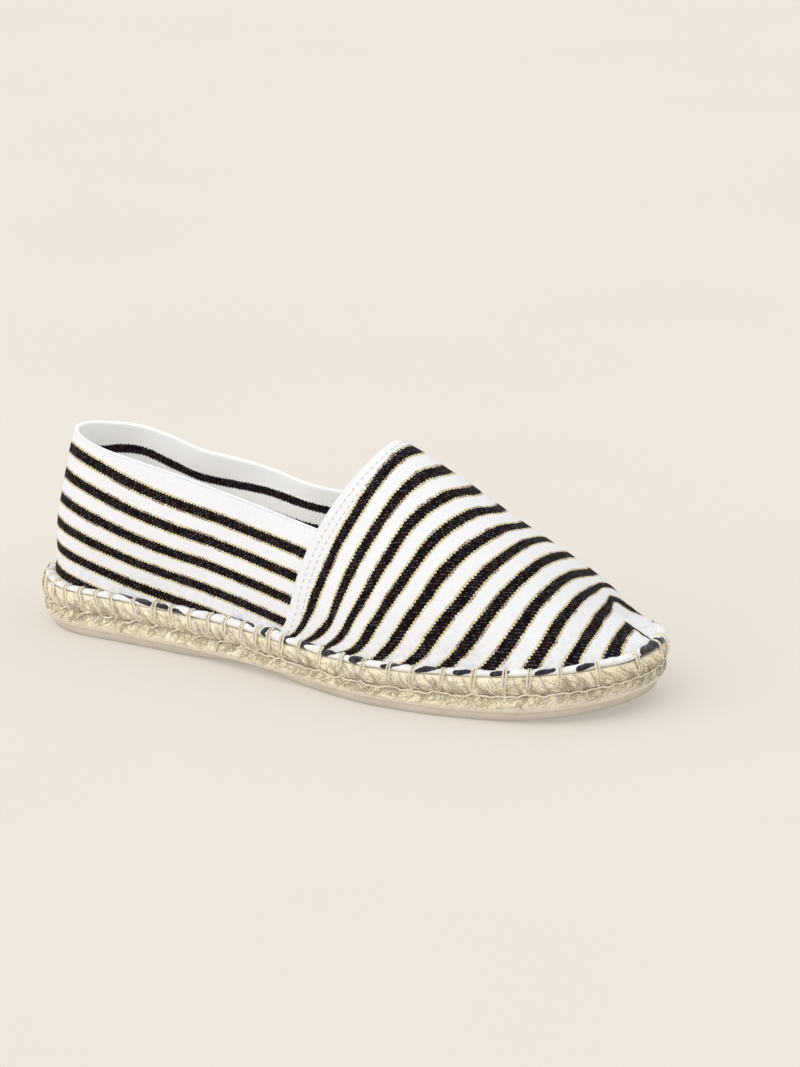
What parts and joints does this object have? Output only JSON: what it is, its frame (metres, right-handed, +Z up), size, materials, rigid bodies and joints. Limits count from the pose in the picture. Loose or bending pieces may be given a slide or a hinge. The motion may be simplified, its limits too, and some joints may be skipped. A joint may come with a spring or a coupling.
{
  "type": "espadrille",
  "caption": "Flat slip-on espadrille for the right foot: striped canvas upper with a lapped front panel and rolled hem, on a braided jute sole with a thin rubber outsole.",
  "frame": {"origin": "On the floor, under the middle of the shoe's bounding box", "axes": "+X from the heel to the toe, +Y towards the medial (inner) side of the right foot, +Z up"},
  "size_m": [0.2536, 0.0908, 0.0886],
  "materials": {
    "outsole_rubber": "smooth matte grey-beige rubber",
    "jute_braid": "braided natural jute, hairy and matte",
    "insole_cloth": "plain natural cotton cloth",
    "upper_canvas": "white ribbed cotton canvas with lengthwise black stripes edged in fine gold thread",
    "front_canvas": "white ribbed cotton canvas with crosswise black stripes edged in fine gold thread"
  },
  "bodies": {
    "root": {"outsole": "outsole_rubber", "jute_sole": "jute_braid", "insole": "insole_cloth", "upper": "upper_canvas", "front_panel": "front_canvas"}
  },
  "joints": []
}
